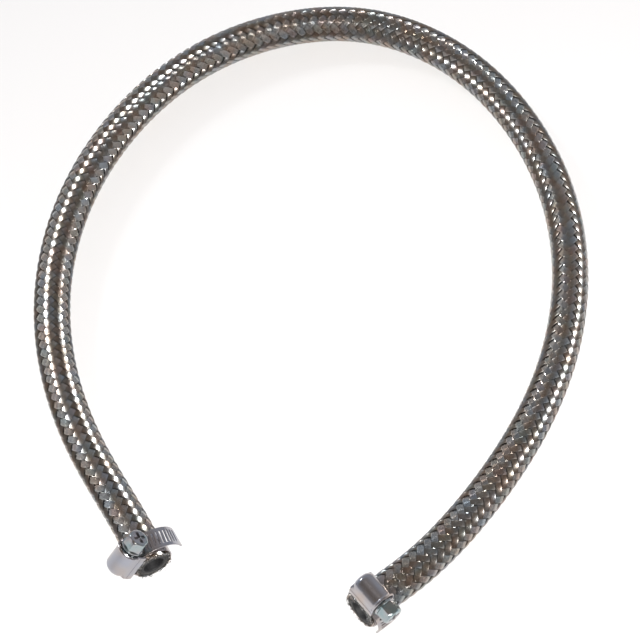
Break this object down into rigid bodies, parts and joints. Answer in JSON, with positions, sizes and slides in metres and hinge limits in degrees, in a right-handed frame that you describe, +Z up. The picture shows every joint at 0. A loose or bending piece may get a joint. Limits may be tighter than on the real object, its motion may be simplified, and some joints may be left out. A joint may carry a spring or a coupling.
{
  "type": "braided rubber hose with worm-drive hose clips",
  "caption": "Length of steel-braided rubber hose in an open loop, with plain cut ends and a worm-drive hose clip on each end.",
  "frame": {"origin": "middle of the object's bounding box in plan, on the surface that the hose lies on", "axes": "+Z up from that surface, +Y from the open ends towards the closed bend of the loop, +X from the left end towards the right end"},
  "size_m": [0.2131, 0.2763, 0.0262],
  "materials": {
    "rubber": "matt black rubber",
    "textile": "undyed textile yarn",
    "braid_wire": "bright drawn stainless wire, woven two over two under",
    "zinc_strip": "bright zinc-plated steel strip",
    "zinc_screw": "bright blue-tinted zinc plating"
  },
  "bodies": {
    "hose": {"inner_tube": "rubber", "textile_reinforcement": "textile", "rubber_cover": "rubber", "steel_braid": "braid_wire"},
    "left_clip": {"left_band": "zinc_strip", "left_housing": "zinc_strip"},
    "left_screw": {"left_worm_screw": "zinc_screw"},
    "left_tail": {"left_band_tail": "zinc_strip"},
    "right_clip": {"right_band": "zinc_strip", "right_housing": "zinc_strip"},
    "right_screw": {"right_worm_screw": "zinc_screw"},
    "right_tail": {"right_band_tail": "zinc_strip"}
  },
  "joints": [
    {"name": "left_clip_slide", "type": "slide", "parent": "hose", "child": "left_clip", "axis": [-0.4866, 0.8736, 0.0014], "range_m": [0, 0.01]},
    {"name": "left_screw_turn", "type": "hinge", "parent": "left_clip", "child": "left_screw", "pos_m": [-0.06744, -0.1126, 0.01443], "axis": [-0.5016, -0.2781, -0.8192], "range_deg": [0, 720]},
    {"name": "left_tail_feed", "type": "hinge", "parent": "left_clip", "child": "left_tail", "pos_m": [-0.05772, -0.10717, 0.00663], "axis": [-0.4866, 0.8736, 0.0014], "range_deg": [0, 18]},
    {"name": "right_clip_slide", "type": "slide", "parent": "hose", "child": "right_clip", "axis": [0.773, 0.6344, 0.0014], "range_m": [0, 0.01]},
    {"name": "right_screw_turn", "type": "hinge", "parent": "right_clip", "child": "right_screw", "pos_m": [0.02155, -0.12794, 0.01918], "axis": [-0.6329, 0.7711, 0.0698], "range_deg": [0, 720]},
    {"name": "right_tail_feed", "type": "hinge", "parent": "right_clip", "child": "right_tail", "pos_m": [0.021, -0.12725, 0.00661], "axis": [0.773, 0.6344, 0.0014], "range_deg": [0, 20]}
  ],
  "couplings": [
    {"joint": "left_tail_feed", "follows": "left_screw_turn", "ratio": 0.024023},
    {"joint": "right_tail_feed", "follows": "right_screw_turn", "ratio": 0.026526}
  ]
}
